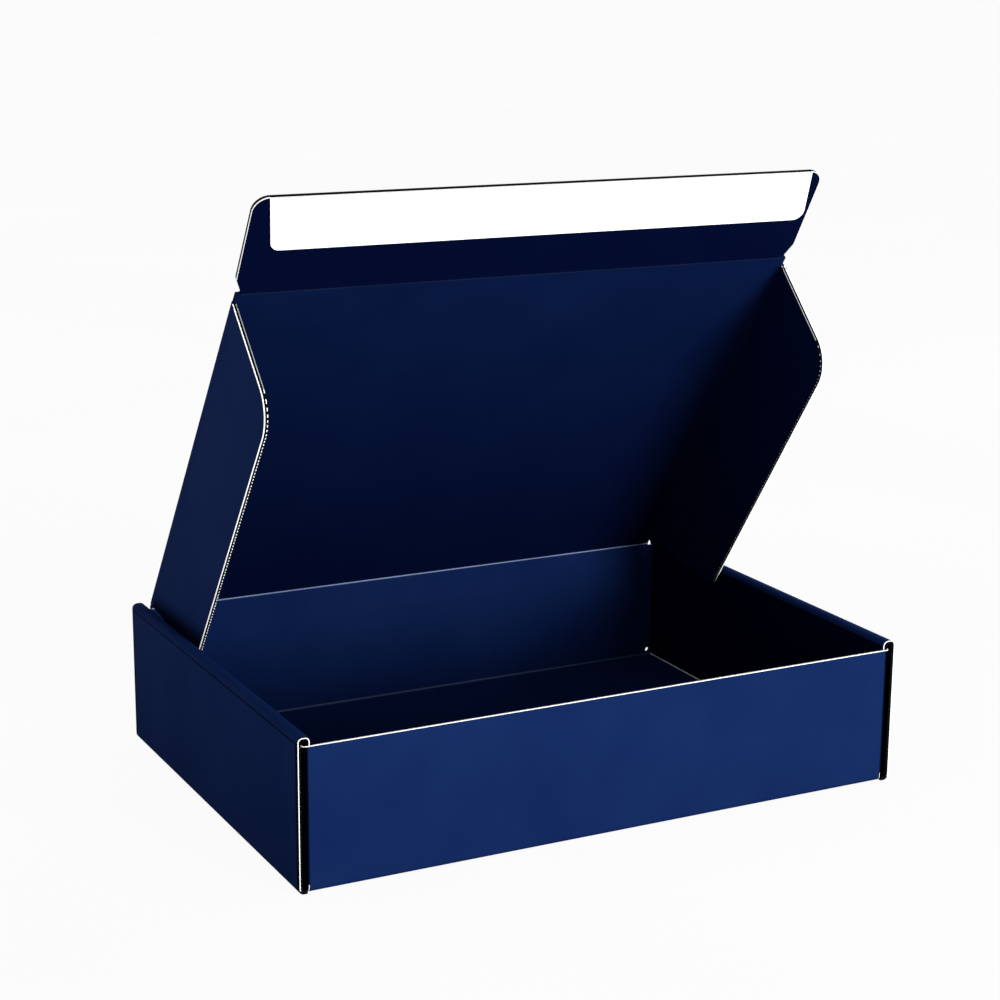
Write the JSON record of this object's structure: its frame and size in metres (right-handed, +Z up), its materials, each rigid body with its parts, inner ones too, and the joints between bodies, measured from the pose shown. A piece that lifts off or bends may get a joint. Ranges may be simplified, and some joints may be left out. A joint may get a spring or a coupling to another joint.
{
  "type": "peel-and-seal mailer box",
  "caption": "Shallow folding mailer box of thin dark blue corrugated board, with a hinged lid, lid side flaps and a front flap with a white peel-off closing strip.",
  "frame": {"origin": "middle of the tray's footprint, on the surface it stands on", "axes": "+X to the right along the tray's width, +Y to the back where the lid is hinged, +Z up"},
  "size_m": [0.25, 0.175, 0.2348],
  "materials": {
    "board": "matt dark blue print on corrugated board",
    "adhesive": "matt pressure-sensitive adhesive",
    "liner": "smooth white release paper"
  },
  "bodies": {
    "tray": {"tray": "board"},
    "lid": {"lid": "board"},
    "left_lid_flap": {"left_lid_flap": "board"},
    "right_lid_flap": {"right_lid_flap": "board"},
    "front_flap": {"front_flap": "board", "adhesive_strip": "adhesive", "release_liner": "liner"}
  },
  "joints": [
    {"name": "lid_hinge", "type": "hinge", "parent": "tray", "child": "lid", "pos_m": [0, 0.0867, 0.0551], "axis": [-1, 0, 0], "range_deg": [-54.5, 125.5]},
    {"name": "left_flap_fold", "type": "hinge", "parent": "lid", "child": "left_lid_flap", "pos_m": [-0.1167, 0.08605, 0.05464], "axis": [0.0063, -0.5807, 0.8141], "range_deg": [0, 85]},
    {"name": "right_flap_fold", "type": "hinge", "parent": "lid", "child": "right_lid_flap", "pos_m": [0.1167, 0.08605, 0.05464], "axis": [0.0063, 0.5807, -0.8141], "range_deg": [0, 85]},
    {"name": "front_flap_fold", "type": "hinge", "parent": "lid", "child": "front_flap", "pos_m": [0, -0.01547, 0.19834], "axis": [1, 0, 0], "range_deg": [-20, 94]}
  ]
}
